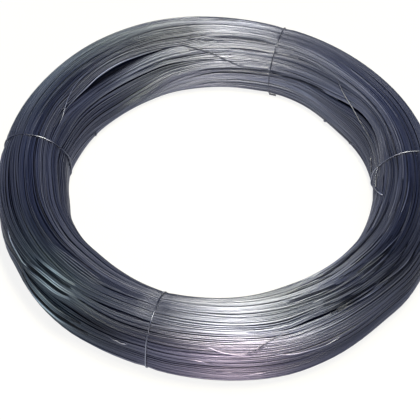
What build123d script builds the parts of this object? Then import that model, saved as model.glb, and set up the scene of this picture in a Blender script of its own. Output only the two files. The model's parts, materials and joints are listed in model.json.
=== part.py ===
"""Coil of drawn steel wire lying flat, drawn together by four tie wires.

Millimetres, +Z up. The origin is on the floor, on the coil's axis, and the front of the coil faces -Y.
"""

import os
from math import cos, degrees, hypot, sin, tau

from build123d import *

# Coil: the bore, the depth of wire wound round it and the height are measured over the crests of the lays
bore_diameter = 500.0
winding_depth = 111.0
coil_height = 117.0
groove_depth = 3.0
groove_width = 5.0

# Rounding of the coil's section, as shares of its smaller side
corner_shares = {"outer_foot": 0.27, "outer_shoulder": 0.38, "inner_shoulder": 0.54, "inner_foot": 0.24}

# Widths of the lays of wire along each stretch of the section, as shares of that stretch
lay_shares = {
    "base": (0.46, 0.54),
    "outer_foot": (0.52, 0.48),
    "side_wall": (1.0,),
    "outer_shoulder": (0.30, 0.36, 0.34),
    "crown": (1.0,),
    "inner_shoulder": (0.30, 0.38, 0.32),
    "bore_wall": (0.48, 0.52),
    "inner_foot": (1.0,),
}

# Stretches whose lays have a sharp ridge for a crest; the others have a flat crest between deeper-cut grooves
ridge_stretches = ("outer_foot", "side_wall", "inner_foot")

# Gaps where two lays have parted, by the rounded corner that each is in: depth and width at the gap's middle,
# its place round that corner, its middle as a share of a full turn from +X, and how much of a turn it spans
parting_depths = {"inner_shoulder": 13.0, "outer_shoulder": 8.0}
parting_widths = {"inner_shoulder": 17.0, "outer_shoulder": 10.0}
parting_place_shares = {"inner_shoulder": 0.38, "outer_shoulder": 0.14}
parting_turn_shares = {"inner_shoulder": 0.365, "outer_shoulder": 0.638}
parting_span_shares = {"inner_shoulder": 0.16, "outer_shoulder": 0.08}

# Tie wires: each is a loop in a channel pressed into the lays, with its two ends twisted into a tail
tie_diameter = 2.0
tie_seat_clearance = 0.3
tie_sides = 8
tie_bends = 4
tail_diameter = 3.6
tail_lengths = {"left": 28.0, "back": 12.0, "right": 58.0, "front": 28.0}

# Where each tie crosses the coil, as a share of a full turn from +X, and the tails that lie anticlockwise
tie_turn_shares = {"left": 0.482, "back": 0.2, "right": 0.018, "front": 0.704}
anticlockwise_tails = ("left", "front")

# The rounded corner that each tail lies on, and how far round that corner
tail_corners = {"left": "inner_foot", "back": "inner_foot", "right": "inner_shoulder", "front": "inner_foot"}
tail_shares = {"inner_foot": 0.5, "inner_shoulder": 0.72}

# Room that every cutting tool takes beyond what it cuts
cut_overrun = 5.0

# Worked out from the driving dimensions
bore_radius = bore_diameter / 2
outside_radius = bore_radius + winding_depth
section_side = min(winding_depth, coil_height)
tie_radius = tie_diameter / 2
tail_radius = tail_diameter / 2
channel_depth = tie_diameter + tie_seat_clearance
channel_width = tie_diameter + 2 * tie_seat_clearance

# Which way each rounded corner starts to face, as a share of a full turn, and the turn that each makes
corner_turn_shares = {"outer_foot": -0.25, "outer_shoulder": 0, "inner_shoulder": 0.25, "inner_foot": 0.5}
corner_sweep_share = 0.25

# The two rounded corners that each straight stretch lies between
wall_ends = {
    "base": ("inner_foot", "outer_foot"),
    "side_wall": ("outer_foot", "outer_shoulder"),
    "crown": ("outer_shoulder", "inner_shoulder"),
    "bore_wall": ("inner_shoulder", "inner_foot"),
}


def corner_radius(corner):
    return corner_shares[corner] * section_side


def corner_point(corner, share, inset):
    """Point at a share of a rounded corner, that far inside the crests, as (radius from the axis, height)."""
    radius = corner_radius(corner)
    across = outside_radius - radius if "outer" in corner else bore_radius + radius
    height = radius if "foot" in corner else coil_height - radius
    angle = tau * (corner_turn_shares[corner] + share * corner_sweep_share)
    return Vector(across, height) + Vector(cos(angle), sin(angle)) * (radius - inset)


def section_point(stretch, share, inset):
    """Point at a share of any stretch of the section's outline, that far inside the crests."""
    if stretch in corner_turn_shares:
        return corner_point(stretch, share, inset)
    before, after = wall_ends[stretch]
    start = corner_point(before, 1, inset)
    return start + (corner_point(after, 0, inset) - start) * share


def stretch_length(stretch):
    """Length of a stretch of the section's outline, over the crests."""
    if stretch in corner_turn_shares:
        return corner_radius(stretch) * tau * corner_sweep_share
    return (section_point(stretch, 1, 0) - section_point(stretch, 0, 0)).length


def lay_crest(stretch, start, end):
    """Crest of the lay between two grooves, as one point for a ridge or two for a flat."""
    if stretch in ridge_stretches:
        return [section_point(stretch, (start + end) / 2, 0)]
    flank = groove_width / 2 / stretch_length(stretch)
    return [section_point(stretch, start + flank, 0), section_point(stretch, end - flank, 0)]


def lay_section():
    """The section of the coil in the XZ plane, with the crests of its lays and the grooves between them."""
    points = []
    for stretch, shares in lay_shares.items():
        reached = 0
        for share in shares:
            points.append(section_point(stretch, reached, groove_depth))
            points += lay_crest(stretch, reached, reached + share)
            reached += share
    return Plane.XZ * make_face(Polyline(points, close=True))


def tie_line(inset):
    """The many-sided line of a taut tie round the section, with its corners that far inside the crests."""
    points = [section_point("base", 0.5, inset)]
    for corner in corner_turn_shares:
        points += [corner_point(corner, bend / tie_bends, inset) for bend in range(tie_bends + 1)]
    return Polyline(points, close=True)


def radial_plane(turn_share):
    """The plane through the coil's axis, that far round from +X: x points outwards and y points up."""
    outwards = Vector(cos(tau * turn_share), sin(tau * turn_share))
    return Plane(origin=(0, 0, 0), x_dir=outwards, z_dir=outwards.cross(Vector(0, 0, 1)))


def tie_channel(turn_share):
    """What a tie presses out of the lays: a band right round the section, a little deeper than the tie."""
    band = make_face(tie_line(-cut_overrun)) - make_face(tie_line(channel_depth))
    return radial_plane(turn_share) * extrude(band, amount=channel_width / 2, both=True)


def parting(corner):
    """What two parted lays leave open: a wedge turned about its own upright axis, thin at its ends."""
    surface = corner_point(corner, parting_place_shares[corner], 0)
    apex = corner_point(corner, parting_place_shares[corner], parting_depths[corner])
    outwards = (surface - apex).normalized()
    mouth = surface + outwards * cut_overrun
    half_mouth = parting_widths[corner] / 2 * (mouth - apex).length / (surface - apex).length
    across = Vector(outwards.Y, -outwards.X) * half_mouth
    half_span = tau * parting_span_shares[corner] / 2
    end = surface.X * cos(half_span)
    half_chord = surface.X * sin(half_span)
    rise = apex.X - end
    turning_radius = (half_chord**2 + rise**2) / (2 * rise)
    plane = radial_plane(parting_turn_shares[corner])
    wedge = plane * make_face(Polyline(apex, mouth + across, mouth - across, close=True))
    return revolve(wedge, Axis(plane.from_local_coords(Vector(apex.X - turning_radius, 0)), (0, 0, 1)))


def rod(start, end, radius):
    """A straight length of wire from one point to another, with few sides."""
    section = Plane(origin=start, z_dir=end - start) * RegularPolygon(radius, tie_sides)
    return extrude(section, amount=(end - start).length)


def tie_wire(name):
    """A tie's closed loop, flush with the lays, and the tail of its twisted ends laid along the turns."""
    plane = radial_plane(tie_turn_shares[name])
    path = plane * tie_line(tie_radius)
    section = Plane(origin=path @ 0, z_dir=path % 0) * RegularPolygon(tie_radius, tie_sides)
    loop = sweep(section, path=path, transition=Transition.RIGHT)
    corner = tail_corners[name]
    share = tail_shares[corner]
    root = plane.from_local_coords(corner_point(corner, share, tie_radius))
    knot = plane.from_local_coords(corner_point(corner, share, -tie_seat_clearance - tail_radius))
    tail_angle = degrees(tail_lengths[name] / hypot(knot.X, knot.Y))
    end = knot.rotate(Axis.Z, tail_angle if name in anticlockwise_tails else -tail_angle)
    overlap = (end - knot).normalized() * tail_radius
    return loop + rod(root, knot, tie_radius) + rod(knot - overlap, end, tail_radius)


def wire_coil():
    """The wound wire as one turned solid with its bore, its parted lays and the channels of its ties."""
    coil = revolve(lay_section(), Axis.Z)
    for corner in parting_turn_shares:
        coil -= parting(corner)
    for turn_share in tie_turn_shares.values():
        coil -= tie_channel(turn_share)
    return coil


def main():
    os.makedirs("parts", exist_ok=True)
    export_step(wire_coil(), "parts/wire_coil.step")
    for name in tie_turn_shares:
        export_step(tie_wire(name), f"parts/tie_wire_{name}.step")


main()
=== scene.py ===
"""Coil of drawn steel wire, bound by four tie wires, lying on a pale studio floor."""
import json
import math

import bpy
import numpy as np
from mathutils import Matrix, Vector


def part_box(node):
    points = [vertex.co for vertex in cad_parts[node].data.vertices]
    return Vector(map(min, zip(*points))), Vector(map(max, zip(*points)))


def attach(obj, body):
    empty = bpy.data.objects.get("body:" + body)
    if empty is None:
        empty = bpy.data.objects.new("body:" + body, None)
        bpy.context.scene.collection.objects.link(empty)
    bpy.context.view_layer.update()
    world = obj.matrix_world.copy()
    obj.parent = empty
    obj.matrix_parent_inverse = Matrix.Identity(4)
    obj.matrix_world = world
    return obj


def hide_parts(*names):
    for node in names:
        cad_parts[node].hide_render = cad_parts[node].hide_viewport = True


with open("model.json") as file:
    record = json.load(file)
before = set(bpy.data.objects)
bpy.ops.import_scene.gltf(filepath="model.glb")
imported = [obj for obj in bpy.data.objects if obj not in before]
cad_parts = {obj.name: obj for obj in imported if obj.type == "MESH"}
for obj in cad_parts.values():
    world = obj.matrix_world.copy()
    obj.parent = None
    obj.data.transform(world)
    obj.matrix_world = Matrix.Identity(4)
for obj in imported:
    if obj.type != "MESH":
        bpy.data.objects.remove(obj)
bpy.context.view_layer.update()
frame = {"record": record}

record = frame["record"]
scene = bpy.context.scene
MM = 0.001
TAU = 2 * math.pi
rng = np.random.default_rng(41)

# Sizes in millimetres, read from the frame
coil_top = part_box("wire_coil")[1]
OUTSIDE_R = coil_top.x / MM
HEIGHT = coil_top.z / MM
BORE_R = next(m for m in record["mounts"] if m["name"] == "bore")["dims"]["r_mm"]
SIDE = min(OUTSIDE_R - BORE_R, HEIGHT)

# Rounded corners of the section: radius as a share of its smaller side, and the direction in degrees that
# each starts to face
CORNERS = {
    "outer_foot": (0.27, -90),
    "outer_shoulder": (0.38, 0),
    "inner_shoulder": (0.54, 90),
    "inner_foot": (0.24, 180),
}
CORNER_POINTS = 60

# Wire of the coil and of the ties: radius in millimetres, sides, and steps to a turn or between two places
WIRE_R = 0.95
WIRE_SIDES = 8
WIRE_STEPS = 120
UNDER_SIDES = 5
UNDER_STEPS = 96
LOOSE_STEPS = 16
TIE_R = 1.0
TIE_STEPS = 240
TAIL_STEPS = 90

# Each tie: where it crosses the coil as a share of a turn, how far it leans in the bore in degrees, the ways
# along the section that its twisted tail follows, and the direction and length of that tail
TIES = {
    "left": (0.482, -2.0, (367, 367), 1, 28.0),
    "back": (0.2, 0.0, (367, 367), -1, 12.0),
    "right": (0.018, 3.0, (289, 302, 301, 289, 273), -1, 72.0),
    "front": (0.704, 0.0, (367, 367), 1, 28.0),
}
# How dark or bright each tie is along it, painted highlight and painted shade: (way, tone)
TIE_TONES = {
    "left": ((0, 0.2), (228, 0.22), (240, 0.6), (250, 0.65), (258, 0.25), (387, 0.25)),
    "back": ((0, 0.2), (244, 0.12), (250, 0.3), (262, 0.3), (270, 0.12), (387, 0.35)),
    "right": ((0, 0.35), (228, 0.42), (250, 0.45), (285, 0.6), (345, 0.5), (387, 0.4)),
    "front": ((0, 0.5), (100, 0.55), (150, 0.45), (172, 0.15), (186, 0.2), (192, 0.65), (202, 0.65),
              (212, 0.4), (232, 0.2), (275, 0.12), (387, 0.2)),
}
# How bright each tail is along its length, the right one brightest at its tip: (share, tone)
TAIL_TONES = {
    "left": ((0, 0.15), (1, 0.15)),
    "back": ((0, 0.05), (1, 0.05)),
    "right": ((0, 0.3), (0.8, 0.3), (0.9, 0.9), (1, 0.9)),
    "front": ((0, 0.15), (1, 0.15)),
}
# How the ties press the turns in, close by and further off: depth in millimetres and half width in degrees
PINCHES = ((1.6, 0.9), (0.6, 9))

# How far the settled coil departs from a true ring: (degrees, millimetres) for its inside, outside and top
INNER_SHIFT = (
    (0, 3), (10, 6), (20, 8), (30, 7), (40, 5), (47, 6.5), (57, 10.5), (66, 11), (76, 7.5), (90, 5),
    (105, 2.5), (113, 1.5), (120, -1.5), (128, -3.5), (137, -4), (145, -2.5), (160, -1.5), (172, 0),
    (190, -4), (200, 0), (215, 0), (225, -4), (236, -2.5), (246, 0.5), (253, 1.5), (265, -1), (285, -5.5),
    (296, -8), (308, -6), (320, -4), (335, -1.5), (350, 0),
)
OUTER_SHIFT = (
    (0, -3), (15, -5), (30, -8), (45, -11), (60, -12), (75, -12), (90, -8), (105, -3), (130, -1), (150, -3),
    (165, -2), (185, 0), (205, 1.5), (230, 1), (240, -3), (249, -5.5), (258, -4), (268, -3), (288, 2),
    (300, 0), (317, -4), (328, 1.5), (345, 0),
)
HEIGHT_SHIFT = (
    (0, -2), (30, -2), (60, -3), (85, -3), (110, -1), (140, 0), (170, 1), (200, 1), (230, 1), (253, 6),
    (280, 7), (300, 6), (320, 3), (340, 0),
)


# Curves
def smooth(t):
    """A smooth step from 0 to 1."""
    t = np.clip(t, 0, 1)
    return t * t * (3 - 2 * t)


def periodic(turn, places):
    """A smooth curve round the ring through (degrees, value) pairs."""
    degrees, values = np.array(sorted(places), float).T
    degrees = np.concatenate([degrees - 360, degrees, degrees + 360])
    values = np.tile(values, 3)
    turn = np.degrees(turn) % 360
    i = np.clip(np.searchsorted(degrees, turn, side="right") - 1, 1, len(degrees) - 3)
    gap = degrees[i + 1] - degrees[i]
    slope = (values[i + 1] - values[i - 1]) / (degrees[i + 1] - degrees[i - 1])
    next_slope = (values[i + 2] - values[i]) / (degrees[i + 2] - degrees[i])
    t = (turn - degrees[i]) / gap
    return (
        values[i] * (1 + 2 * t) * (1 - t) ** 2
        + slope * gap * t * (1 - t) ** 2
        + values[i + 1] * t * t * (3 - 2 * t)
        + next_slope * gap * t * t * (t - 1)
    )


def near(turn, degrees, width):
    """1 at an azimuth, fading smoothly to 0 over a width in degrees."""
    away = (np.degrees(turn) - degrees + 180) % 360 - 180
    return np.exp(-((away / width) ** 2))


def stepped(lane, places, values, width):
    """A value for each stretch of a wire, changing smoothly at the places where one stretch ends."""
    result = np.full(len(lane), values[0])
    for place, before, after in zip(places, values[:-1], values[1:]):
        result += (after - before) * smooth((lane - place) / width + 0.5)
    return result


def section_table():
    """The way along the section's outline from the inner end of the base, with its points and normals."""
    points, normals = [], []
    for name, (share, start) in CORNERS.items():
        radius = share * SIDE
        across = OUTSIDE_R - radius if "outer" in name else BORE_R + radius
        height = radius if "foot" in name else HEIGHT - radius
        for facing in np.radians(start + np.linspace(0, 90, CORNER_POINTS)):
            normal = np.array([math.cos(facing), math.sin(facing)])
            points.append(np.array([across, height]) + radius * normal)
            normals.append(normal)
    points = np.array([points[-1]] + points)
    normals = np.array([normals[-1]] + normals)
    way = np.concatenate([[0], np.cumsum(np.linalg.norm(np.diff(points, axis=0), axis=1))])
    return way, points, normals


WAY, OUTLINE, NORMALS = section_table()
ROUND = WAY[-1]


def on_coil(turn, way, inset):
    """Points in millimetres at an azimuth, a way along the section's outline and a depth below it."""
    at = np.mod(way, ROUND)
    r = np.interp(at, WAY, OUTLINE[:, 0]) - inset * np.interp(at, WAY, NORMALS[:, 0])
    z = np.interp(at, WAY, OUTLINE[:, 1]) - inset * np.interp(at, WAY, NORMALS[:, 1])
    share = (r - BORE_R) / (OUTSIDE_R - BORE_R)
    r = r + periodic(turn, INNER_SHIFT) * (1 - share) + periodic(turn, OUTER_SHIFT) * share
    z = z * (1 + periodic(turn, HEIGHT_SHIFT) / HEIGHT)
    return np.stack([r * np.cos(turn), r * np.sin(turn), z], -1)


def tie_pinch(turn):
    """How far the ties press the turns in, in millimetres."""
    pressed = 0
    for depth, half in PINCHES:
        pressed = pressed + depth * sum(near(turn, tie[0] * 360, half) for tie in TIES.values())
    return pressed


# Meshes, each wire with a lane of its own in the map for every turn
LANE_MARGIN = 0.08
LANE_FILL = 1 - 2 * LANE_MARGIN


def add_object(name, data):
    """An object in the scene for a mesh, a lamp or a camera."""
    item = bpy.data.objects.new(name, data)
    scene.collection.objects.link(item)
    return item


def skin(rows, columns, closed, steps):
    """Faces over rows of points, each row a ring, and their map: along a lane, across it, and which lane."""
    i, k = np.meshgrid(np.arange(rows if closed else rows - 1), np.arange(columns), indexing="ij")
    j, m = (i + 1) % rows, (k + 1) % columns
    quads = np.stack([i * columns + k, i * columns + m, j * columns + m, j * columns + k], -1)
    lane, step = np.divmod(i, steps)
    u = np.stack([step, step, step + 1, step + 1], -1) / steps
    v = np.stack([k, k + 1, k + 1, k], -1) / columns
    lane = np.stack([lane] * 4, -1)
    return quads.reshape(-1, 4), np.stack([u, v, lane], -1).reshape(-1, 4, 3)


def tube(points, radius, sides, reference=(0.0, 0.0, 1.0), closed=False, steps=None):
    """Vertices, faces, map and end caps of a round wire along points in millimetres."""
    n = len(points)
    ahead = np.roll(points, -1, 0) - np.roll(points, 1, 0)
    if not closed:
        ahead[0] = points[1] - points[0]
        ahead[-1] = points[-1] - points[-2]
    ahead /= np.linalg.norm(ahead, axis=1)[:, None]
    up = np.array(reference)
    up = up - (ahead @ up)[:, None] * ahead
    up /= np.linalg.norm(up, axis=1)[:, None]
    side = np.cross(ahead, up)
    angle = np.arange(sides) / sides * TAU
    ring = up[:, None] * np.cos(angle)[None, :, None] + side[:, None] * np.sin(angle)[None, :, None]
    vertices = (points[:, None] + radius * ring).reshape(-1, 3)
    caps = [] if closed else [np.arange(sides)[::-1], (n - 1) * sides + np.arange(sides)]
    return vertices, *skin(n, sides, closed, steps or n), caps


def wire_object(name, wires, material, replaced):
    """One object from several wires, each a tube with a tone, dullness and tint for each of its points."""
    tubes, tones, dullness, tints = zip(*wires)
    points, quads, maps, caps = zip(*tubes)
    starts = np.cumsum([0] + [len(p) for p in points])
    vertices = np.concatenate(points) * MM
    quads = np.concatenate([q + start for q, start in zip(quads, starts)])
    caps = [cap + start for pair, start in zip(caps, starts) for cap in pair]
    corner = np.concatenate([quads.ravel()] + caps).astype(np.int32)
    sizes = np.array([4] * len(quads) + [len(cap) for cap in caps], np.int32)
    mesh = bpy.data.meshes.new(name)
    mesh.vertices.add(len(vertices))
    mesh.vertices.foreach_set("co", vertices.astype(np.float32).ravel())
    mesh.loops.add(len(corner))
    mesh.loops.foreach_set("vertex_index", corner)
    mesh.polygons.add(len(sizes))
    mesh.polygons.foreach_set("loop_start", (np.cumsum(sizes) - sizes).astype(np.int32))
    mesh.polygons.foreach_set("loop_total", sizes)
    mesh.update(calc_edges=True)

    lane_starts = np.cumsum([0] + [m[..., 2].max() + 1 for m in maps])
    lanes = lane_starts[-1] + 1
    uv = []
    for m, first in zip(maps, lane_starts):
        across = first + m[..., 2] + LANE_MARGIN + LANE_FILL * m[..., 1]
        uv.append(np.stack([m[..., 0], across / lanes], -1).reshape(-1, 2))
    caps_at = (0.5, 1 - 0.5 / lanes)
    uv.append(np.tile(caps_at, (len(corner) - quads.size, 1)))
    layer = mesh.uv_layers.new(name="OFBake")
    layer.data.foreach_set("uv", np.concatenate(uv).astype(np.float32).ravel())

    def on_vertices(values):
        return np.concatenate([np.repeat(v, len(p) // len(v), axis=0) for v, p in zip(values, points)])

    for attribute, values in (("tone", tones), ("dullness", dullness)):
        data = mesh.attributes.new(attribute, "FLOAT", "POINT").data
        data.foreach_set("value", on_vertices(values).astype(np.float32))
    colours = np.concatenate([on_vertices(tints), np.ones((len(vertices), 1))], 1)
    data = mesh.attributes.new("tint", "FLOAT_COLOR", "POINT").data
    data.foreach_set("color", colours.astype(np.float32).ravel())
    mesh.polygons.foreach_set("use_smooth", np.ones(len(sizes), bool))
    mesh.materials.append(material)
    item = add_object(name, mesh)
    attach(item, "root")
    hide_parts(replaced)


# Materials: stains that dull the steel, and marks along the wire from its drawing
STAIN_SCALE = 14
STAIN_DETAIL = 4
STAIN_SHARE = 0.5
WEAR_RANGE = (0.1, 1.3)
MARK_STRETCH = (40, 700, 1)
MARK_SCALE = 1.0
MARK_STRENGTH = 0.08
MARK_DEPTH = 0.0002


def steel(name, dark, pale, rough):
    """Drawn steel: a tone for each wire, slow stains along it and fine drawing marks."""
    material = bpy.data.materials.new(name)
    material.use_nodes = True
    nodes, links = material.node_tree.nodes, material.node_tree.links
    shader = nodes["Principled BSDF"]
    shader.inputs["Metallic"].default_value = 1.0

    def attribute(of_wire):
        node = nodes.new("ShaderNodeAttribute")
        node.attribute_name = of_wire
        return node

    ramp = nodes.new("ShaderNodeValToRGB")
    ramp.color_ramp.elements[0].color = (*dark, 1)
    ramp.color_ramp.elements[1].color = (*pale, 1)
    links.new(attribute("tone").outputs["Fac"], ramp.inputs["Fac"])
    tinted = nodes.new("ShaderNodeMix")
    tinted.data_type = "RGBA"
    tinted.blend_type = "MULTIPLY"
    tinted.inputs["Factor"].default_value = 1.0
    links.new(ramp.outputs["Color"], tinted.inputs["A"])
    links.new(attribute("tint").outputs["Color"], tinted.inputs["B"])
    links.new(tinted.outputs["Result"], shader.inputs["Base Color"])

    where = nodes.new("ShaderNodeTexCoord")
    stain = nodes.new("ShaderNodeTexNoise")
    stain.inputs["Scale"].default_value = STAIN_SCALE
    stain.inputs["Detail"].default_value = STAIN_DETAIL
    links.new(where.outputs["Object"], stain.inputs["Vector"])
    wear = nodes.new("ShaderNodeMath")
    wear.operation = "MULTIPLY_ADD"
    wear.inputs[1].default_value = STAIN_SHARE
    links.new(stain.outputs["Fac"], wear.inputs[0])
    links.new(attribute("dullness").outputs["Fac"], wear.inputs[2])
    spread = nodes.new("ShaderNodeMapRange")
    spread.inputs["From Min"].default_value = WEAR_RANGE[0]
    spread.inputs["From Max"].default_value = WEAR_RANGE[1]
    spread.inputs["To Min"].default_value = rough[0]
    spread.inputs["To Max"].default_value = rough[1]
    links.new(wear.outputs["Value"], spread.inputs["Value"])
    links.new(spread.outputs["Result"], shader.inputs["Roughness"])

    stretch = nodes.new("ShaderNodeMapping")
    stretch.inputs["Scale"].default_value = MARK_STRETCH
    links.new(where.outputs["UV"], stretch.inputs["Vector"])
    marks = nodes.new("ShaderNodeTexNoise")
    marks.inputs["Scale"].default_value = MARK_SCALE
    links.new(stretch.outputs["Vector"], marks.inputs["Vector"])
    bump = nodes.new("ShaderNodeBump")
    bump.inputs["Strength"].default_value = MARK_STRENGTH
    bump.inputs["Distance"].default_value = MARK_DEPTH
    links.new(marks.outputs["Fac"], bump.inputs["Height"])
    links.new(bump.outputs["Normal"], shader.inputs["Normal"])
    return material


coil_steel = steel("coil_steel", (0.039, 0.046, 0.082), (0.234, 0.253, 0.342), (0.27, 0.46))
tie_steel = steel("tie_steel", (0.03, 0.034, 0.052), (0.34, 0.37, 0.5), (0.3, 0.45))


# Temper colours: where each begins and ends along the section, as a way and an edge's width in millimetres,
# its spots as azimuth and half width in degrees and strength, and what it adds to red, green and blue
TEMPER = {
    "rosy": ((40, 20), (205, 50), ((275, 22, 1.0),), (0.12, -0.05, 0.02)),
    "teal": ((60, 30), (240, 50), ((222, 18, 1.0), (142, 26, 0.7)), (-0.12, 0.03, -0.14)),
    "straw": ((235, 20), (math.inf, 1), ((20, 55, 1.0), (290, 30, 0.5)), (0.02, 0.0, -0.09)),
}
# Patches of painted shade and painted highlight: azimuth and half width in degrees, way and half height in
# millimetres, and the share by which each darkens or brightens the steel
PAINTED_LIGHT_PATCHES = [
    (40, 30, 270, 45, 0.7), (148, 14, 185, 22, 0.8), (82, 6, 205, 15, 0.6), (278, 13, 240, 14, 0.3),
    (110, 16, 234, 18, -0.45), (212, 16, 222, 22, -0.25), (330, 18, 190, 35, -0.4), (240, 11, 150, 26, -0.75),
    (288, 16, 180, 18, 0.95), (304, 10, 238, 14, 0.45), (302, 10, 266, 14, 0.55), (226, 6, 185, 10, 0.3),
    (208, 9, 142, 20, -0.75), (62, 34, 330, 15, 0.65), (90, 10, 208, 18, 0.3), (108, 9, 297, 16, -0.4),
    (284, 14, 255, 30, 0.2), (195, 32, 298, 22, -0.3), (122, 9, 203, 12, 0.3), (180, 12, 235, 25, 0.3),
    (240, 12, 112, 20, -0.55), (310, 20, 118, 26, -0.45), (150, 14, 265, 12, 0.35), (338, 16, 292, 20, 0.6),
    (80, 20, 272, 30, 0.25), (272, 10, 205, 14, 0.5), (205, 14, 168, 12, -0.3), (125, 10, 278, 7, 0.7),
    (138, 12, 295, 12, 0.35), (218, 7, 120, 30, -0.4), (72, 10, 232, 14, -0.2), (122, 10, 330, 18, -0.35),
    (330, 12, 142, 20, -0.5), (268, 10, 147, 13, 0.35), (253, 8, 266, 16, -0.15), (253, 8, 172, 14, -0.25),
    (90, 6, 286, 6, 0.3), (79, 5, 299, 5, 0.35), (101, 6, 226, 7, -0.25), (90, 4.5, 199, 5, -0.5),
    (356, 8, 270, 5, 0.3), (314, 12, 258, 26, 0.28),
]


def tint(turn, way):
    """Temper colours, painted highlights and painted shade: what the steel's colour is multiplied by, at an
    azimuth and a way.
    """
    colour = np.ones((len(way), 3))
    for (begin, begin_edge), (end, end_edge), spots, added in TEMPER.values():
        strength = smooth((way - begin) / begin_edge) * smooth((end - way) / end_edge)
        strength = strength * sum(share * near(turn, azimuth, half) for azimuth, half, share in spots)
        colour = colour + np.outer(strength, added)
    shade = np.ones_like(way)
    # Painted highlights and painted shade from the patches
    for azimuth, half, middle, height, share in PAINTED_LIGHT_PATCHES:
        shade = shade * (1 + share * near(turn, azimuth, half) * np.exp(-(((way - middle) / height) ** 2)))
    return colour * shade[:, None]


# Edges of the lays: the way along the section, in millimetres, at azimuths in degrees
EDGES = [
    ((0, 2), (90, -3), (200, 4), (290, -1)),
    ((10, 30), (120, 27), (230, 33)),
    ((0, 60), (100, 66), (180, 56), (270, 63)),
    ((20, 96), (110, 90), (190, 80), (230, 90), (290, 92)),
    ((0, 128), (80, 122), (170, 112), (190, 102), (225, 120), (290, 133)),
    ((30, 160), (120, 152), (170, 140), (190, 130), (204, 140), (212, 146), (218, 148), (226, 152),
     (233, 156), (240, 151), (248, 147), (275, 150), (320, 152)),
    ((4, 186), (90, 190), (180, 190), (225, 190), (246, 190), (270, 191), (288, 188), (295, 191),
     (307, 190), (318, 187), (335, 187)),
    ((0, 222), (60, 226), (120, 224), (190, 219), (260, 226), (310, 222)),
    ((10, 244), (35, 245), (60, 246), (75, 247), (90, 248), (97, 252), (104, 258), (111, 258), (118, 257),
     (136, 257), (152, 255), (160, 249), (220, 250), (290, 247)),
    ((0, 263), (10, 266), (19, 262), (30, 262), (37, 266), (45, 274), (60, 284), (75, 287), (99, 290),
     (124, 290), (133, 289), (144, 286), (156, 281), (168, 280), (180, 272), (225, 274), (290, 281),
     (330, 272)),
    ((2, 289), (10, 283), (19, 277), (30, 277), (37, 284), (45, 293), (55, 301), (65, 305), (75, 307),
     (88, 309), (96, 312), (103, 320), (110, 327), (118, 341), (126, 348), (135, 351), (145, 345), (155, 335),
     (170, 322), (185, 312), (240, 306), (300, 310), (330, 302), (346, 294)),
    ((0, 343), (70, 346), (100, 352), (118, 362), (135, 367), (150, 364), (175, 352), (240, 340), (300, 347)),
]
LAY_OVERLAP = 2.0
# Open gaps between lays: edge, azimuth, half length in degrees and width in millimetres
GAPS = [
    (8, 132, 22, 18.0), (9, 128, 34, 4.0), (10, 36, 24, 7.0), (6, 297, 12, 5.5), (5, 229, 13, 12.0),
    (10, 116, 20, 3.5), (7, 215, 25, 3.0), (8, 205, 30, 3.0), (6, 200, 30, 3.0), (7, 330, 25, 3.0),
    (8, 300, 20, 2.5), (6, 246, 12, 3.0), (8, 80, 14, 3.0), (6, 319, 9, 3.5),
]
# Lays that lie lower: lay, side that leans down (-1 first, 1 last, 0 both), azimuth, half length and depth
SUNK = [
    (8, -1, 133, 24, 9.0), (7, 1, 138, 20, 2.0), (4, 1, 228, 16, 6.0), (3, 0, 238, 26, 2.0),
    (10, -1, 38, 26, 4.0), (5, 1, 296, 13, 3.0), (5, 0, 204, 10, -2.5), (3, 1, 208, 5, 4.5),
    (4, 0, 209, 5, 4.5), (10, -1, 118, 22, 3.0),
]
# The two layers of each lay: depth, drop at its edges and pitch in millimetres, steps to a turn, sides of the
# wire, and the share of each gap's width that it leaves open
UPPER_LAYER = (0.0, 0.9, 2.25, WIRE_STEPS, WIRE_SIDES, 1.0)
UNDER_LAYER = (2.6, 1.2, 2.5, UNDER_STEPS, UNDER_SIDES, 0.75)

# Winding: places round a lay where its width is taken, the quantile of them that the turns fill, the fewest
# and the most turns in a bundle, and the fewest in the last
LAY_PLACES = 72
LAY_QUANTILE = 0.75
BUNDLE_TURNS = (2.2, 5.0)
LAST_BUNDLE_TURNS = 1.5
# Slits beside each bundle: how many, their usual and greatest widths in millimetres, their half lengths in
# degrees, how sharply each opens and over how many turns it closes
SLITS = 3
SLIT_WIDTH = 0.8
SLIT_WIDEST = 3.0
SLIT_HALF = (10, 40)
SLIT_SHARPNESS = 4
SLIT_REACH = 1.6
# How far the edges of a bundle drop below the lay in millimetres: the least, what is usually added to it and
# the most that is, and then how far single turns drop
BUNDLE_DROP = 0.15
BUNDLE_DROP_MORE = 0.4
BUNDLE_DROP_MOST = 1.2
TURN_DROP = 0.7
# Sway of the bundles and of single turns: waves round the ring and their size in millimetres, and the shares
# of it that go along the section and into it
BUNDLE_SWAY = ((1, 0.9), (2, 1.0), (3, 0.9), (5, 0.6), (8, 0.35), (12, 0.2))
BUNDLE_ALONG = 0.45
BUNDLE_DEEP = 0.2
TURN_SWAY = ((4, 0.25), (7, 0.2), (11, 0.14), (17, 0.08))
TURN_DEEP = 0.6
# Each end of the wire dives below the turns, by millimetres over a share of a turn
DIVE_DEPTH = 6.0
DIVE_TURN = 0.1
# Tone and dullness: the middle, how far bundles and turns depart from it, and the tone's slow waves
TONE = 0.45
TONE_OF_BUNDLE = 0.07
TONE_OF_TURN = 0.11
TONE_OF_WAVE = 0.07
TONE_WAVES = (2, 6)
DULLNESS = 0.5
DULLNESS_OF_BUNDLE = 0.2
DULLNESS_OF_TURN = 0.16
# Over how many turns one value changes to the next
BUNDLE_DROP_BLEND = 0.25
TURN_DROP_BLEND = 0.3
BUNDLE_SWAY_BLEND = 0.3
TURN_SWAY_BLEND = 0.4
TONE_BLEND = 0.2
WAVE_BLEND = 0.3
# Painted shade between the turns, darker the deeper they lie: the depth where it starts, and how fast red,
# green and blue fade with depth
PAINTED_SHADE_DEPTH = 4.0
PAINTED_SHADE_FADE = (0.11, 0.105, 0.08)


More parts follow.
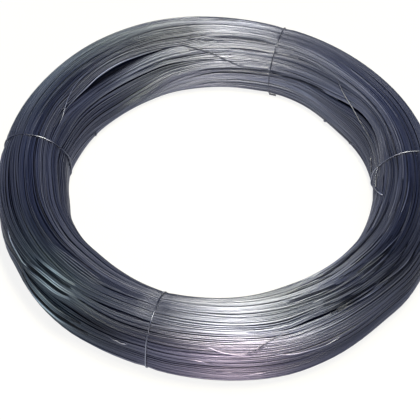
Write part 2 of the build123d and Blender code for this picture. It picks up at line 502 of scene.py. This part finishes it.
def lay_edges(k, turn, opening):
    """The two edges of a lay round the ring, drawn back where a gap is open."""
    after = (k + 1) % len(EDGES)
    first = periodic(turn, EDGES[k]) - LAY_OVERLAP
    last = periodic(turn, EDGES[after]) + LAY_OVERLAP + (ROUND if after == 0 else 0)
    for edge, azimuth, half, width in GAPS:
        drawn = opening * (width / 2 + LAY_OVERLAP) * near(turn, azimuth, half)
        first = first + drawn * (edge == k)
        last = last - drawn * (edge == after)
    return first, last


def lay_wire(k, handed, depth, crown, pitch, steps, sides, opening):
    """One wire wound over a lay in bundles of a few turns, as a tube with its tone, dullness and tint."""
    first, last = lay_edges(k, np.linspace(0, TAU, LAY_PLACES), opening)
    turns = int(np.quantile(last - first, LAY_QUANTILE) / pitch)
    lane = np.arange(turns * steps + 1) / steps
    turn = (lane + rng.uniform(0, 1)) * TAU
    turn_ends = np.arange(1, turns)
    bundle_ends = np.cumsum(rng.uniform(*BUNDLE_TURNS, turns))
    bundle_ends = bundle_ends[bundle_ends < turns - LAST_BUNDLE_TURNS]
    bundles = len(bundle_ends) + 1
    ends = np.concatenate([[0], bundle_ends, [turns]])
    at = np.clip(np.searchsorted(ends, lane, side="right") - 1, 0, bundles - 1)
    within = 2 * (lane - ends[at]) / (ends[at + 1] - ends[at]) - 1

    def by_bundle(values, blend):
        return stepped(lane, bundle_ends, values, blend)

    def by_turn(values, blend):
        return stepped(lane, turn_ends, values, blend)

    across = handed * (2 * lane / turns - 1)
    first, last = lay_edges(k, turn, opening)
    way = (first + last) / 2 + (last - first) / 2 * across
    for place in np.repeat(bundle_ends, SLITS):
        width = min(rng.exponential(SLIT_WIDTH), SLIT_WIDEST)
        apart = width * near(turn, rng.uniform(0, 360), rng.uniform(*SLIT_HALF))
        beside = lane - place
        way = way + handed * apart * np.tanh(SLIT_SHARPNESS * beside) * np.exp(-np.abs(beside) / SLIT_REACH)
    inset = WIRE_R + depth + crown * across**2 + tie_pinch(turn)
    drop = BUNDLE_DROP + np.minimum(rng.exponential(BUNDLE_DROP_MORE, bundles), BUNDLE_DROP_MOST)
    inset += by_bundle(drop, BUNDLE_DROP_BLEND) * within**2
    for n, size in BUNDLE_SWAY:
        sway = [by_bundle(rng.normal(0, size, bundles), BUNDLE_SWAY_BLEND) for _ in range(4)]
        way = way + BUNDLE_ALONG * (sway[0] * np.cos(n * turn) + sway[1] * np.sin(n * turn))
        inset = inset + BUNDLE_DEEP * (sway[2] * np.cos(n * turn) + sway[3] * np.sin(n * turn))
    for n, size in TURN_SWAY:
        sway = [by_turn(rng.normal(0, size, turns), TURN_SWAY_BLEND) for _ in range(3)]
        way = way + sway[0] * np.cos(n * turn) + sway[1] * np.sin(n * turn)
        inset = inset + TURN_DEEP * sway[2] * np.cos(n * turn + k)
    inset = inset + by_turn(np.abs(rng.normal(0, TURN_DROP, turns)), TURN_DROP_BLEND)
    for lay, lean, azimuth, half, sunk in SUNK:
        if lay == k:
            inset = inset + sunk * near(turn, azimuth, half) * (1 if lean == 0 else (1 + lean * across) / 2)
    dive = smooth(1 - lane / DIVE_TURN) + smooth(1 - (turns - lane) / DIVE_TURN)
    inset = inset + DIVE_DEPTH * dive
    points = on_coil(turn, way, np.maximum(inset, WIRE_R / 2))
    points[:, 2] = np.maximum(points[:, 2], WIRE_R)

    tone = TONE + by_bundle(rng.normal(0, TONE_OF_BUNDLE, bundles), TONE_BLEND)
    tone += by_turn(rng.normal(0, TONE_OF_TURN, turns), TONE_BLEND)
    waves = rng.integers(*TONE_WAVES)
    tone += TONE_OF_WAVE * np.cos(waves * turn + by_bundle(rng.uniform(0, TAU, bundles), WAVE_BLEND))
    dullness = DULLNESS + by_bundle(rng.normal(0, DULLNESS_OF_BUNDLE, bundles), TONE_BLEND)
    dullness += by_turn(rng.normal(0, DULLNESS_OF_TURN, turns), TONE_BLEND)
    # Painted shade on the turns that lie deep
    painted_shade = np.exp(-np.outer(np.maximum(inset - PAINTED_SHADE_DEPTH, 0), PAINTED_SHADE_FADE))
    mesh = tube(points, WIRE_R, sides, steps=steps)
    return mesh, np.clip(tone, 0, 1), np.clip(dullness, 0, 1), tint(turn, np.mod(way, ROUND)) * painted_shade


for k in range(len(EDGES)):
    handed = 1 if k % 2 else -1
    wires = [lay_wire(k, handed, *UPPER_LAYER), lay_wire(k, -handed, *UNDER_LAYER)]
    wire_object(f"wire_lay_{k:02d}", wires, coil_steel, "wire_coil")


# The turns deep in the coil: points round the section, their depth in millimetres and how much deeper every
# other one lies, how far past a gap they drop away and by what share of its width, and their look, kept dark
# as painted shade in the gaps
CORE_POINTS = 160
CORE_DEPTH = 6.5
CORE_RIDGE = 0.6
CORE_BESIDE = 6
CORE_DROP = 1.1
CORE_TONE = 0.1
CORE_DULLNESS = 0.9
CORE_SHADE_TINT = (0.2, 0.2, 0.25)


def core_ring():
    """One ridged ring that drops away under the open gaps, with its tone, dullness and a dark tint of painted
    shade.
    """
    round_ring = np.arange(UNDER_STEPS) / UNDER_STEPS * TAU
    round_section = np.linspace(0, ROUND, CORE_POINTS, endpoint=False)
    turn, way = np.meshgrid(round_ring, round_section, indexing="ij")
    inset = CORE_DEPTH + CORE_RIDGE * (np.arange(CORE_POINTS) % 2) + tie_pinch(turn)
    for edge, azimuth, half, width in GAPS:
        beside = (way - periodic(turn, EDGES[edge])) / (width + CORE_BESIDE)
        inset = inset + CORE_DROP * width * near(turn, azimuth, half) * np.exp(-(beside**2))
    points = on_coil(turn, way, inset).reshape(-1, 3)
    n = len(points)
    mesh = (points, *skin(UNDER_STEPS, CORE_POINTS, True, UNDER_STEPS), [])
    return mesh, np.full(n, CORE_TONE), np.full(n, CORE_DULLNESS), np.tile(CORE_SHADE_TINT, (n, 1))


wire_object("wire_core", [core_ring()], coil_steel, "wire_coil")


# Loose turns: depth of their ends in millimetres, the share of their length over which each end rises, their
# dullness, and how many of them go to a turn in the map
LOOSE_DEPTH = 2.5
LOOSE_RISE = 0.35
LOOSE_DULLNESS = 0.6
LOOSE_TO_TURN = 12


def loose_wire(places, lift, tone, painted_brightness):
    """A turn that lies over the others along (degrees, way) places, with its ends tucked under."""
    along = np.linspace(0, 1, LOOSE_STEPS * len(places))
    knots = np.linspace(0, 1, len(places))
    even = np.ones(LOOSE_STEPS + 1) / (LOOSE_STEPS + 1)
    curves = []
    for values in np.array(places, float).T:
        padded = np.pad(np.interp(along, knots, values), LOOSE_STEPS // 2, "edge")
        curves.append(np.convolve(padded, even, "valid"))
    degrees, way = curves
    turn = np.radians(degrees)
    proud = lift * smooth(along / LOOSE_RISE) * smooth((1 - along) / LOOSE_RISE)
    points = on_coil(turn, way, WIRE_R + LOOSE_DEPTH - proud + tie_pinch(turn))
    n = len(points)
    # Painted highlight and painted shade along the turn
    painted_light = np.interp(along, np.linspace(0, 1, len(painted_brightness)), painted_brightness)
    mesh = tube(points, WIRE_R, WIRE_SIDES, steps=LOOSE_TO_TURN * n)
    return mesh, np.full(n, tone), np.full(n, LOOSE_DULLNESS), tint(turn, way) * painted_light[:, None]


def comb(first, last, count, lift, tone, painted_brightness):
    """Loose turns side by side, spread evenly from the places of the first to those of the last."""
    first, last = np.array(first, float), np.array(last, float)
    shares = np.linspace(0, 1, count)
    return [loose_wire(first + (last - first) * share, lift, tone, painted_brightness) for share in shares]


def band(places, count, lift, tone, painted_brightness):
    """Loose turns side by side along the same places, each a wire's width from the next."""
    return [
        loose_wire([(degrees, way + 2 * n * WIRE_R) for degrees, way in places], lift, tone, painted_brightness)
        for n in range(count)
    ]


# Each loose turn: its places, how far it stands proud, its tone and its brightness along it, which paints
# highlight and shade on it
LOOSE = [
    (((168, 259), (162, 256), (158, 249), (154, 244), (149, 239), (145, 237), (140, 236), (132, 236)),
     4.4, 0.8, (0.6, 1.2, 1.1, 0.6)),
    (((112, 245), (108, 252), (103, 263), (99, 271), (95, 278), (90, 290), (83, 304), (80, 309)),
     3.6, 0.4, (0.6, 0.5)),
    (((50, 252), (45, 261), (41, 271), (35, 279), (28, 288), (23, 291), (18, 292)),
     4.2, 0.6, (0.45, 0.55, 0.4)),
    (((265, 171), (269, 167), (271, 163), (274, 160), (277, 158), (280, 164), (282, 173), (285, 181),
      (289, 183)), 4.4, 0.6, (1.8, 1.6, 0.4, 0.3)),
    (((281, 152), (285, 150), (288, 147), (291, 146), (295, 143), (298, 141), (301, 144), (304, 146),
      (308, 147)), 3.8, 0.9, (1.0, 2.0, 1.4, 0.3)),
    (((199, 167), (203, 165), (207, 162), (211, 162), (214, 161), (216, 162), (220, 161)),
     4.2, 0.9, (2.0, 4.0, 3.0, 0.8)),
    (((243, 137), (245, 136), (247, 134), (249, 133)), 3.8, 0.7, (1.6, 1.6)),
    (((168, 251), (158, 253), (150, 255), (145, 255), (139, 252), (132, 252), (126, 254), (120, 256),
      (112, 258)), 4.0, 0.8, (0.4, 1.0, 2.4, 2.0, 0.6)),
    (((18, 304), (14, 312), (12, 322), (11, 334), (10, 342)), 3.6, 0.6, (0.4, 0.8, 0.4)),
    (((261, 141), (264, 139), (267, 139), (269, 134), (272, 131)), 3.4, 0.9, (0.5, 1.3, 0.5)),
    (((270, 112), (272, 114), (274, 116), (278, 110)), 3.4, 0.9, (0.5, 1.2, 0.5)),
    (((276, 108), (279, 109), (282, 110), (285, 110)), 3.4, 0.9, (0.5, 1.2, 0.5)),
]
# Combs of loose turns: the places of the first and of the last, how many, and the rest as for one turn. The
# dark combs are painted shade between the bright ones, which carry painted highlights
COMBS = [
    (((211, 152), (214, 154), (217, 158), (220, 164), (223, 166), (226, 167), (229, 170), (232, 173),
      (236, 175)),
     ((211, 154), (214, 156), (217, 161), (220, 167), (223, 169), (226, 170), (229, 172), (232, 175),
      (236, 177)),
     2, 4.2, 0.8, (0.2, 0.6, 2.0, 2.8, 1.6, 0.3)),
    (((211, 159), (214, 162), (217, 165), (220, 170), (223, 172), (226, 173), (229, 174), (232, 177),
      (236, 179)),
     ((211, 163), (214, 165), (217, 168), (220, 172), (223, 174), (226, 175), (229, 176), (232, 179),
      (236, 181)),
     2, 3.2, 0.1, (0.3, 0.3)),
    (((211, 166), (214, 169), (217, 172), (220, 175), (223, 177), (226, 178), (229, 179), (232, 181),
      (236, 183)),
     ((211, 168), (214, 171), (217, 174), (220, 178), (223, 180), (226, 181), (229, 182), (232, 183),
      (236, 185)),
     2, 4.2, 0.8, (0.2, 0.6, 2.0, 2.6, 1.4, 0.3)),
    (((213, 180), (217, 181), (221, 184), (225, 186), (229, 187), (233, 189)),
     ((213, 183), (217, 184), (221, 186), (225, 188), (229, 189), (233, 191)),
     2, 3.2, 0.1, (0.4, 0.3, 0.4)),
    (((213, 185), (216, 186), (219, 188), (222, 190), (225, 192), (228, 193), (231, 195), (235, 197)),
     ((213, 187), (216, 188), (219, 190), (222, 192), (225, 194), (228, 195), (231, 197), (235, 199)),
     2, 4.0, 0.8, (0.2, 1.0, 2.2, 1.2, 0.2)),
    (((212, 104), (216, 107), (220, 109), (224, 110), (228, 111), (232, 112), (238, 112)),
     ((212, 111), (216, 112), (220, 113), (224, 113), (228, 114), (232, 115), (238, 115)),
     3, 4.0, 0.8, (0.2, 1.4, 3.6, 3.0, 1.2, 0.2)),
    (((212, 116), (216, 116), (220, 116), (224, 116), (228, 117), (232, 118), (238, 118)),
     ((212, 126), (216, 126), (220, 125), (224, 124), (228, 123), (232, 123), (238, 124)),
     3, 3.4, 0.1, (0.3, 0.3)),
    (((210, 147), (215, 144), (220, 141), (225, 139), (230, 137), (236, 135)),
     ((210, 134), (215, 132), (220, 129), (225, 128), (230, 127), (236, 127)),
     3, 4.2, 0.8, (0.2, 1.6, 2.4, 1.2, 0.2)),
    (((210, 145), (215, 142), (220, 138), (225, 136), (230, 135), (236, 133)),
     ((210, 137), (215, 135), (220, 132), (225, 131), (230, 130), (236, 129)),
     2, 3.2, 0.1, (0.3, 0.3)),
    (((210, 218), (216, 219), (222, 224), (227, 226), (233, 226), (240, 225)),
     ((210, 211), (216, 212), (222, 213), (227, 213), (233, 214), (240, 214)),
     4, 3.4, 0.7, (0.3, 1.1, 1.4, 0.9, 0.2)),
]
# Dark turns as painted shade in the grooves at the right and the back: places, how many side by side and
# their brightness
PAINTED_SHADE_LIFT = 2.8
PAINTED_SHADE_TONE = 0.1
PAINTED_SHADE_BANDS = [
    (((284, 256), (292, 254.5), (300, 254), (308, 255), (316, 256), (322, 260), (328, 261), (334, 259),
      (340, 257), (346, 255), (352, 256), (358, 259)), 2, (0.8, 0.35, 0.3, 0.5, 0.7)),
    (((303, 258), (308, 259), (316, 260), (322, 264), (328, 265)), 1, (0.6, 0.35, 0.6)),
    (((286, 228), (292, 228), (299, 227), (305, 225), (310, 224)), 2, (0.8, 0.35, 0.35, 0.8)),
    (((304, 235), (309, 232), (313, 229), (318, 228), (324, 227)), 1, (0.6, 0.4, 0.6)),
    (((292, 218), (299, 218), (306, 217.5), (312, 217), (319, 216)), 1, (0.8, 0.4, 0.8)),
    (((293, 209), (300, 208), (307, 206.5), (313, 204), (317, 202)), 2, (0.8, 0.4, 0.8)),
    (((292, 208), (299, 204), (305, 200), (310, 197)), 1, (0.8, 0.5, 0.8)),
    (((298, 193.5), (305, 194), (311, 192.5), (317, 190)), 2, (0.5, 0.2, 0.5)),
    (((300, 189), (308, 188.5), (317, 186.5)), 1, (0.5, 0.2, 0.5)),
    (((312, 242), (318, 241.5), (324, 242), (330, 243), (337, 242)), 1, (0.7, 0.4, 0.7)),
    (((314, 229), (320, 229.5), (326, 229), (332, 227), (339, 226)), 1, (0.7, 0.45, 0.7)),
    (((309, 217), (316, 214), (323, 215), (329, 217), (336, 219)), 2, (0.7, 0.35, 0.7)),
    (((315, 207), (320, 208), (325, 210.5), (331, 215)), 1, (0.7, 0.4, 0.7)),
    (((311, 203), (316, 204), (321, 206.5), (326, 210)), 1, (0.7, 0.4, 0.7)),
    (((314, 192), (320, 193), (326, 196), (332, 200), (337, 203)), 1, (0.7, 0.4, 0.7)),
    (((316, 181), (322, 181), (328, 180), (334, 178)), 2, (0.7, 0.4, 0.7)),
    (((352, 273), (345, 274), (339, 274.5), (334, 276), (328, 274)), 1, (0.8, 0.45, 0.8)),
    (((361, 241), (352, 237.5), (346, 239), (338, 243)), 1, (0.8, 0.5, 0.8)),
    (((360, 224), (351, 224), (342, 226)), 1, (0.8, 0.5, 0.8)),
    (((365, 280), (357, 277), (349, 275)), 1, (0.8, 0.5, 0.8)),
    (((101, 247), (95, 246.5), (89, 245.5), (82, 244.5), (75, 243.5), (67, 245)), 2, (0.8, 0.45, 0.5, 0.8)),
    (((107, 247), (101, 250), (95, 254), (87, 256)), 1, (0.8, 0.6, 0.8)),
    (((110, 290), (102, 290), (94, 291), (86, 293), (76, 292)), 1, (0.8, 0.5, 0.8)),
    (((109, 315), (101, 312), (95, 310), (84, 306), (77, 305), (71, 302), (65, 301), (58, 298)),
     2, (0.8, 0.4, 0.4, 0.5, 0.8)),
    (((74, 309), (68, 307), (64, 304), (58, 299), (53, 295), (48, 291), (41, 287)),
     2, (0.8, 0.4, 0.3, 0.3, 0.5)),
]
# Bright turns beside them, lifted to catch the light, with painted highlights in their brightness
BRIGHT_LIFT = 3.1
BRIGHT_TONE = 0.8
BRIGHT_BANDS = [
    (((296, 272), (304, 271), (313, 272), (321, 274), (329, 275), (340, 278)),
     2, (0.4, 1.2, 1.5, 1.7, 1.0, 0.2)),
    (((292, 276), (300, 275), (309, 275), (317, 277), (325, 279), (335, 282)),
     2, (0.4, 1.2, 1.5, 1.7, 1.0, 0.2)),
    (((291, 250), (297, 250), (303, 250), (310, 250)), 1, (0.3, 0.8, 1.0, 0.3)),
    (((286, 230), (292, 232), (298, 233.5), (305, 237), (312, 238)), 1, (0.3, 0.8, 1.0, 0.8, 0.3)),
    (((292, 225), (299, 223.5), (308, 222)), 1, (0.3, 1.0, 0.3)),
    (((293, 214), (300, 214.5), (307, 213), (315, 209)), 1, (0.3, 1.0, 1.0, 0.3)),
    (((302, 191), (307, 191), (312, 190), (318, 188)), 1, (0.1, 0.4, 1.0, 0.3)),
    (((302, 187), (307, 186.5), (312, 184), (319, 180)), 1, (0.1, 0.5, 1.6, 0.4)),
    (((314, 240), (321, 239), (328, 239), (337, 239)), 1, (0.2, 0.9, 1.4, 0.4)),
    (((314, 223), (321, 223), (328, 221.5), (338, 216)), 1, (0.2, 0.9, 1.4, 0.4)),
    (((310, 211), (316, 211), (322, 212), (331, 216)), 1, (0.2, 0.9, 1.4, 0.4)),
    (((315, 187), (321, 185), (327, 184), (335, 187)), 1, (0.2, 1.0, 1.6, 0.4)),
    (((352, 265), (345, 268), (338, 268), (329, 269)), 1, (0.5, 1.4, 1.4, 0.3)),
    (((361, 247), (352, 246), (344, 246), (335, 250)), 1, (0.5, 1.4, 1.4, 0.4)),
    (((360, 229), (352, 228), (345, 229), (336, 233)), 1, (0.5, 1.4, 1.4, 0.4)),
    (((99, 243), (94, 242.5), (89, 241.5), (83, 241)), 1, (0.3, 1.0, 1.0, 0.3)),
    (((98, 238.5), (93, 238), (88, 237), (82, 236)), 1, (0.3, 1.0, 1.0, 0.3)),
    (((98, 282), (92, 285), (86, 288), (81, 291)), 1, (0.2, 0.5, 0.6, 0.3)),
    (((87, 300), (82, 299), (76, 297.5), (70, 295)), 2, (0.3, 0.8, 0.8, 0.3)),
    (((108, 271), (99.5, 266), (92.5, 266), (84.5, 264), (80, 263.5), (72, 263), (62, 259.5)),
     2, (0.5, 0.7, 0.5)),
    (((98, 317.5), (89, 314.5), (82, 312.5), (72, 310.5), (58, 303)), 2, (0.4, 0.55, 0.4)),
]
# Wire ends that stick out into the bore as (degrees, way), their points, their length in degrees, their depth
# and rise in millimetres, how soon they have risen, and their thickness and look
WIRE_ENDS = ((150, 348), (45.5, 357), (30, 351))
END_POINTS = 12
END_DEGREES = 1.6
END_DEPTH = 1.5
END_RISE = 4.5
END_HASTE = 1.5
END_R = 1.3 * WIRE_R
END_TONE = 0.4
END_DULLNESS = 0.6


def wire_end(degrees, way):
    """A short end that rises out of the turns."""
    along = np.linspace(0, 1, END_POINTS)
    turn = np.radians(degrees + END_DEGREES * (along - 0.5))
    inset = WIRE_R + END_DEPTH - END_RISE * smooth(along * END_HASTE)
    mesh = tube(on_coil(turn, np.full(END_POINTS, float(way)), inset), END_R, WIRE_SIDES)
    return mesh, np.full(END_POINTS, END_TONE), np.full(END_POINTS, END_DULLNESS), np.ones((END_POINTS, 3))


loose = [loose_wire(*each) for each in LOOSE]
for each in COMBS:
    loose += comb(*each)
for places, count, painted_brightness in PAINTED_SHADE_BANDS:
    loose += band(places, count, PAINTED_SHADE_LIFT, PAINTED_SHADE_TONE, painted_brightness)
for places, count, painted_brightness in BRIGHT_BANDS:
    loose += band(places, count, BRIGHT_LIFT, BRIGHT_TONE, painted_brightness)
loose += [wire_end(*each) for each in WIRE_ENDS]
wire_object("wire_loose", loose, coil_steel, "wire_coil")


# Ties: sway of the loop in radians and its phase, the way where a lean starts and the lengths over which it
# rises and falls, the wire's dullness, and the twisted tail's radii, height, start and pitch in millimetres
TIE_SWAY = 0.003
TIE_PHASE = 9
LEAN_START = 280
LEAN_RISE = 60
LEAN_FALL = 20
TIE_DULLNESS = 0.4
TAIL_R = 0.9
TAIL_HEIGHT = 1.4
TAIL_START = 0.5
TWIST_R = 0.9
TWIST_PITCH = 7


def tie_tubes(share, lean, tail_ways, direction, length):
    """A taut loop round the section and the ways of its points, and its two ends twisted along the turns."""
    middle = share * TAU
    way = np.linspace(0, ROUND, TIE_STEPS, endpoint=False)
    turn = middle + TIE_SWAY * np.cos(2 * way / ROUND * TAU + share * TIE_PHASE)
    turn += math.radians(lean) * smooth((way - LEAN_START) / LEAN_RISE) * smooth((ROUND - way) / LEAN_FALL)
    along = (-math.sin(middle), math.cos(middle), 0.0)
    loop = tube(on_coil(turn, way, np.full(TIE_STEPS, TIE_R)), TIE_R, WIRE_SIDES, along, closed=True)
    reach = np.linspace(0, 1, TAIL_STEPS)
    tail_way = np.interp(reach, np.linspace(0, 1, len(tail_ways)), tail_ways)
    r = np.hypot(*on_coil(np.array([middle]), tail_way[:1], np.array([0.0]))[0, :2])
    turn = middle + direction * (reach * length + TAIL_START) / r
    ends = []
    for start in (0, math.pi):
        angle = start + reach * TAU * length / TWIST_PITCH
        points = on_coil(turn, tail_way + TWIST_R * np.cos(angle), -TAIL_HEIGHT - TWIST_R * np.sin(angle))
        ends.append(tube(points, TAIL_R, WIRE_SIDES))
    return loop, way, ends


for name, tie in TIES.items():
    loop, way, ends = tie_tubes(*tie)
    toned = [(loop, np.interp(way, *zip(*TIE_TONES[name])))]
    tail_tone = np.interp(np.linspace(0, 1, TAIL_STEPS), *zip(*TAIL_TONES[name]))
    toned += [(mesh, tail_tone) for mesh in ends]
    wires = [(mesh, tone, np.full(len(tone), TIE_DULLNESS), np.ones((len(tone), 3))) for mesh, tone in toned]
    wire_object(f"tie_{name}", wires, tie_steel, f"tie_wire_{name}")

# Floor: half its side in metres, its paint, and the share of white that the camera and reflections see on it
FLOOR_HALF = 12.0
FLOOR_PAINT = (0.7, 0.7, 0.695, 1)
FLOOR_ROUGHNESS = 0.9
FLOOR_WHITE = (0.99, 0.99, 0.985, 1)
FLOOR_WHITE_SHARE = 0.86


def floor_material():
    """Pale paint, nearly white where it is seen, with the shadows kept on it."""
    material = bpy.data.materials.new("floor_paint")
    material.use_nodes = True
    nodes, links = material.node_tree.nodes, material.node_tree.links
    paint = nodes["Principled BSDF"]
    paint.inputs["Base Color"].default_value = FLOOR_PAINT
    paint.inputs["Roughness"].default_value = FLOOR_ROUGHNESS
    glow = nodes.new("ShaderNodeEmission")
    glow.inputs["Color"].default_value = FLOOR_WHITE
    path = nodes.new("ShaderNodeLightPath")

    def larger(a, b):
        node = nodes.new("ShaderNodeMath")
        node.operation = "MAXIMUM"
        links.new(a, node.inputs[0])
        links.new(b, node.inputs[1])
        return node.outputs["Value"]

    seen = larger(path.outputs["Is Camera Ray"], path.outputs["Is Glossy Ray"])
    seen = larger(seen, path.outputs["Is Transmission Ray"])
    share_seen = nodes.new("ShaderNodeMath")
    share_seen.operation = "MULTIPLY"
    share_seen.inputs[1].default_value = FLOOR_WHITE_SHARE
    links.new(seen, share_seen.inputs[0])
    mix = nodes.new("ShaderNodeMixShader")
    links.new(share_seen.outputs["Value"], mix.inputs["Fac"])
    links.new(paint.outputs["BSDF"], mix.inputs[1])
    links.new(glow.outputs["Emission"], mix.inputs[2])
    links.new(mix.outputs["Shader"], nodes["Material Output"].inputs["Surface"])
    return material


floor_mesh = bpy.data.meshes.new("floor")
floor_corners = [(x * FLOOR_HALF, y * FLOOR_HALF, 0) for x, y in ((-1, -1), (1, -1), (1, 1), (-1, 1))]
floor_mesh.from_pydata(floor_corners, [], [(0, 1, 2, 3)])
floor_mesh.materials.append(floor_material())
floor = add_object("floor", floor_mesh)

# Light: the sky, and soft lamps with their place, aim and size in metres, power and colour
SKY_COLOUR = (0.31, 0.45, 1.0, 1)
SKY_STRENGTH = 0.3
LAMPS = {
    "key": ((0.1, -0.3, 2.4), (0, 0, 0), (0.3, 1.2), 88, (1.0, 0.90, 0.65)),
    "key_right": ((0.5, -0.3, 2.4), (0, 0, 0), (0.3, 1.2), 44, (1.0, 0.98, 0.58)),
    "front_low": ((0.2, -2.2, 0.9), (0, -0.3, 0.05), (0.6, 0.4), 36, (1.0, 0.88, 0.66)),
    "left": ((-2.2, -1.0, 0.75), (-0.2, -0.2, 0.05), (0.3, 0.3), 4, (0.95, 1.0, 0.8)),
}
world = bpy.data.worlds.new("studio")
scene.world = world
world.use_nodes = True
sky = world.node_tree.nodes["Background"]
sky.inputs["Color"].default_value = SKY_COLOUR
sky.inputs["Strength"].default_value = SKY_STRENGTH
for name, (place, aim, size, power, colour) in LAMPS.items():
    data = bpy.data.lights.new(name, "AREA")
    data.shape = "RECTANGLE"
    data.size, data.size_y = size
    data.energy = power
    data.color = colour
    lamp = add_object(name, data)
    lamp.location = place
    lamp.rotation_euler = (Vector(aim) - Vector(place)).to_track_quat("-Z", "Y").to_euler()

# Camera: angles in degrees, and in millimetres the height of the point that it circles, its distance from it,
# its shifts to the right and up, its lens and its sensor
CAMERA_TILT = 51.33
CAMERA_ROLL = 2.36
CAMERA_CENTRE = 45.84
CAMERA_DISTANCE = 2452.7
CAMERA_RIGHT = -15.68
CAMERA_UP = -37.68
LENS = 127.71
SENSOR = 36.0
tilt, roll = math.radians(CAMERA_TILT), math.radians(CAMERA_ROLL)
back = Vector((0, -math.cos(tilt), math.sin(tilt)))
level = Vector((1, 0, 0))
upright = back.cross(level)
right = level * math.cos(roll) + upright * math.sin(roll)
up = upright * math.cos(roll) - level * math.sin(roll)
eye = Vector((0, 0, CAMERA_CENTRE)) + back * CAMERA_DISTANCE + right * CAMERA_RIGHT + up * CAMERA_UP
camera_data = bpy.data.cameras.new("camera")
camera_data.lens = LENS
camera_data.sensor_width = SENSOR
camera = add_object("camera", camera_data)
camera.matrix_world = Matrix.Translation(eye * MM) @ Matrix((right, up, back)).transposed().to_4x4()
scene.camera = camera
scene.view_settings.view_transform = "Standard"
